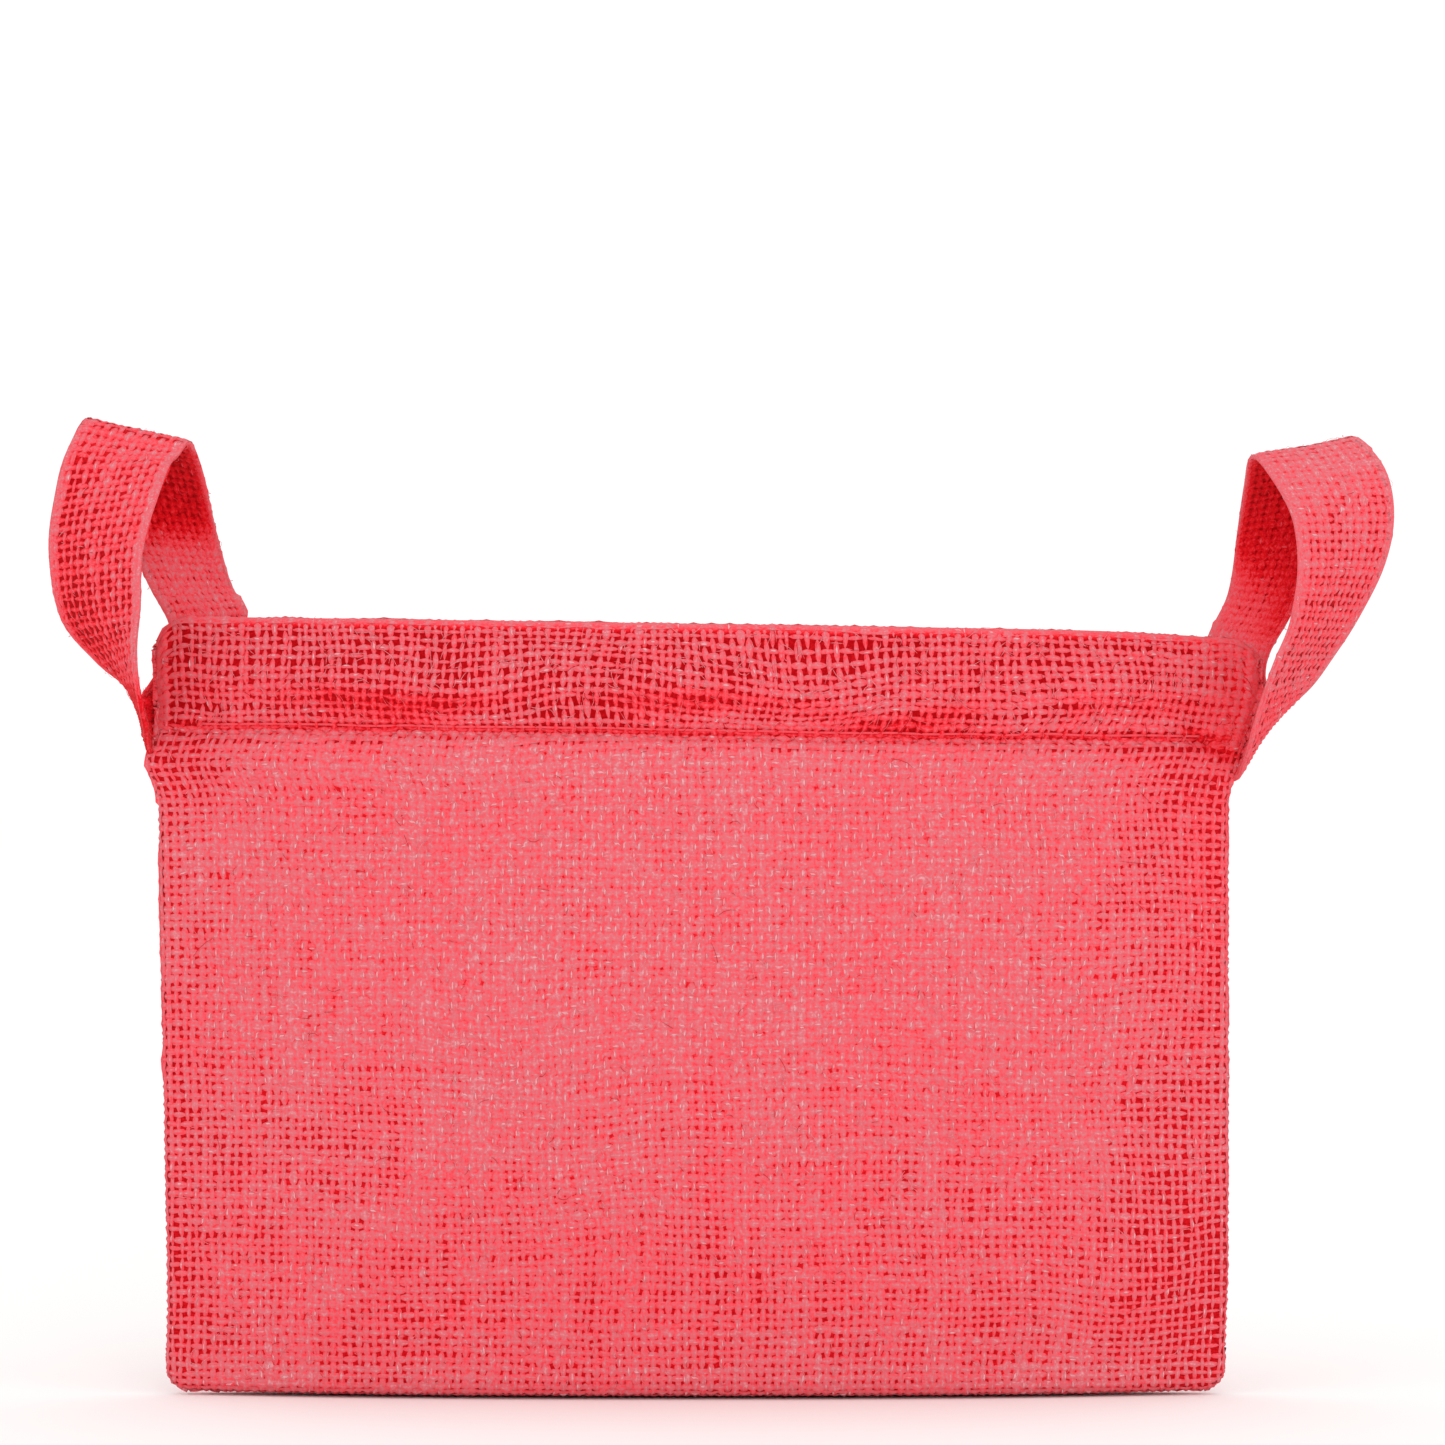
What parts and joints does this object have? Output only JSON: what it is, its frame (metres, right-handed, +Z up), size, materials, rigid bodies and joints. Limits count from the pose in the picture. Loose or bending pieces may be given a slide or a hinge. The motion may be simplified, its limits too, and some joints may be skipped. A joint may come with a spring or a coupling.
{
  "type": "sack race bag",
  "caption": "Red hessian sack race bag standing upright, with a folded band round its open mouth and a soft strap loop sewn into each side seam",
  "frame": {"origin": "on the ground under the middle of the bag's body, at the base mount", "axes": "+X across the bag to the right in the picture, +Y to the back, +Z up"},
  "size_m": [0.5684, 0.0907, 0.4116],
  "materials": {
    "dyed_hessian": "coarse plain weave, matt",
    "sewing_thread": "twisted, matt"
  },
  "bodies": {
    "bag": {"front_panel": "dyed_hessian", "back_panel": "dyed_hessian", "front_mouth_band": "dyed_hessian", "back_mouth_band": "dyed_hessian", "left_handle_tail": "dyed_hessian", "right_handle_tail": "dyed_hessian", "front_band_needle_thread": "sewing_thread", "front_band_bobbin_thread": "sewing_thread", "back_band_needle_thread": "sewing_thread", "back_band_bobbin_thread": "sewing_thread", "left_seam_thread": "sewing_thread", "right_seam_thread": "sewing_thread", "bottom_seam_thread": "sewing_thread"},
    "left_handle": {"left_handle_loop": "dyed_hessian"},
    "right_handle": {"right_handle_loop": "dyed_hessian"}
  },
  "joints": [
    {"name": "left_handle_hinge", "type": "hinge", "parent": "bag", "child": "left_handle", "pos_m": [-0.22975, 0, 0.2525], "axis": [-0.018, 0, 0.9998], "range_deg": [-20, 50]},
    {"name": "right_handle_hinge", "type": "hinge", "parent": "bag", "child": "right_handle", "pos_m": [0.2286, 0, 0.2525], "axis": [-0.2961, 0, -0.9552], "range_deg": [-20, 50]}
  ]
}
